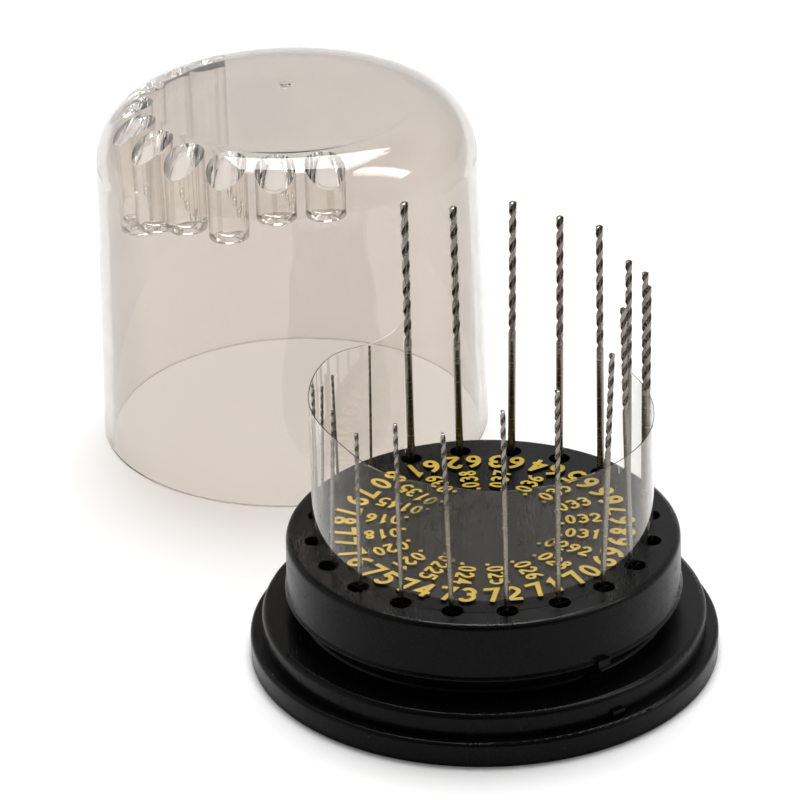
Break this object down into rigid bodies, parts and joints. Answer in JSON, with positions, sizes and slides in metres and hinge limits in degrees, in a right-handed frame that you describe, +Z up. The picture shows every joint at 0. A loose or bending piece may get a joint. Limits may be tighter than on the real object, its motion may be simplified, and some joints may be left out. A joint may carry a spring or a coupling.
{
  "type": "twist drill index stand",
  "caption": "Round moulded stand with a ring of small twist drills, raised size numbers, a clear C-shaped guard and a clear dome cover set beside it.",
  "frame": {"origin": "centre of the stand's flat underside, on the surface it stands on", "axes": "+Z up along the stand's round axis and the drills; +Y towards the cover, which stands behind and to the left; +X right"},
  "size_m": [0.0796, 0.1182, 0.0517],
  "materials": {
    "black_moulding": "satin black injection moulding",
    "gold_foil": "gold-yellow hot-stamped foil on raised figures",
    "clear_sheet": "thin clear plastic sheet, glossy",
    "clear_moulding": "clear plastic with a slight warm grey tint, glossy",
    "tool_steel": "ground high-speed steel, bright shank and darker flutes"
  },
  "bodies": {
    "stand": {"base_body": "black_moulding", "size_numbers": "gold_foil", "decimal_sizes": "gold_foil"},
    "guard": {"clear_guard": "clear_sheet"},
    "dome": {"dome_cover": "clear_moulding"},
    "drill_61_body": {"drill_61": "tool_steel"},
    "drill_62_body": {"drill_62": "tool_steel"},
    "drill_63_body": {"drill_63": "tool_steel"},
    "drill_64_body": {"drill_64": "tool_steel"},
    "drill_65_body": {"drill_65": "tool_steel"},
    "drill_66_body": {"drill_66": "tool_steel"},
    "drill_67_body": {"drill_67": "tool_steel"},
    "drill_68_body": {"drill_68": "tool_steel"},
    "drill_69_body": {"drill_69": "tool_steel"},
    "drill_70_body": {"drill_70": "tool_steel"},
    "drill_71_body": {"drill_71": "tool_steel"},
    "drill_72_body": {"drill_72": "tool_steel"},
    "drill_73_body": {"drill_73": "tool_steel"},
    "drill_74_body": {"drill_74": "tool_steel"},
    "drill_75_body": {"drill_75": "tool_steel"},
    "drill_76_body": {"drill_76": "tool_steel"},
    "drill_77_body": {"drill_77": "tool_steel"},
    "drill_78_body": {"drill_78": "tool_steel"},
    "drill_79_body": {"drill_79": "tool_steel"},
    "drill_80_body": {"drill_80": "tool_steel"}
  },
  "joints": [
    {"name": "dome_lift", "type": "slide", "parent": "stand", "child": "dome", "axis": [0, 0, 1], "range_m": [0, 0.06]},
    {"name": "guard_lift", "type": "slide", "parent": "stand", "child": "guard", "axis": [0, 0, 1], "range_m": [0, 0.04]},
    {"name": "drill_61_lift", "type": "slide", "parent": "stand", "child": "drill_61_body", "axis": [0, 0, 1], "range_m": [0, 0.03]},
    {"name": "drill_62_lift", "type": "slide", "parent": "stand", "child": "drill_62_body", "axis": [0, 0, 1], "range_m": [0, 0.03]},
    {"name": "drill_63_lift", "type": "slide", "parent": "stand", "child": "drill_63_body", "axis": [0, 0, 1], "range_m": [0, 0.03]},
    {"name": "drill_64_lift", "type": "slide", "parent": "stand", "child": "drill_64_body", "axis": [0, 0, 1], "range_m": [0, 0.03]},
    {"name": "drill_65_lift", "type": "slide", "parent": "stand", "child": "drill_65_body", "axis": [0, 0, 1], "range_m": [0, 0.03]},
    {"name": "drill_66_lift", "type": "slide", "parent": "stand", "child": "drill_66_body", "axis": [0, 0, 1], "range_m": [0, 0.03]},
    {"name": "drill_67_lift", "type": "slide", "parent": "stand", "child": "drill_67_body", "axis": [0, 0, 1], "range_m": [0, 0.03]},
    {"name": "drill_68_lift", "type": "slide", "parent": "stand", "child": "drill_68_body", "axis": [0, 0, 1], "range_m": [0, 0.03]},
    {"name": "drill_69_lift", "type": "slide", "parent": "stand", "child": "drill_69_body", "axis": [0, 0, 1], "range_m": [0, 0.03]},
    {"name": "drill_70_lift", "type": "slide", "parent": "stand", "child": "drill_70_body", "axis": [0, 0, 1], "range_m": [0, 0.03]},
    {"name": "drill_71_lift", "type": "slide", "parent": "stand", "child": "drill_71_body", "axis": [0, 0, 1], "range_m": [0, 0.03]},
    {"name": "drill_72_lift", "type": "slide", "parent": "stand", "child": "drill_72_body", "axis": [0, 0, 1], "range_m": [0, 0.03]},
    {"name": "drill_73_lift", "type": "slide", "parent": "stand", "child": "drill_73_body", "axis": [0, 0, 1], "range_m": [0, 0.03]},
    {"name": "drill_74_lift", "type": "slide", "parent": "stand", "child": "drill_74_body", "axis": [0, 0, 1], "range_m": [0, 0.03]},
    {"name": "drill_75_lift", "type": "slide", "parent": "stand", "child": "drill_75_body", "axis": [0, 0, 1], "range_m": [0, 0.03]},
    {"name": "drill_76_lift", "type": "slide", "parent": "stand", "child": "drill_76_body", "axis": [0, 0, 1], "range_m": [0, 0.03]},
    {"name": "drill_77_lift", "type": "slide", "parent": "stand", "child": "drill_77_body", "axis": [0, 0, 1], "range_m": [0, 0.03]},
    {"name": "drill_78_lift", "type": "slide", "parent": "stand", "child": "drill_78_body", "axis": [0, 0, 1], "range_m": [0, 0.03]},
    {"name": "drill_79_lift", "type": "slide", "parent": "stand", "child": "drill_79_body", "axis": [0, 0, 1], "range_m": [0, 0.03]},
    {"name": "drill_80_lift", "type": "slide", "parent": "stand", "child": "drill_80_body", "axis": [0, 0, 1], "range_m": [0, 0.03]}
  ]
}
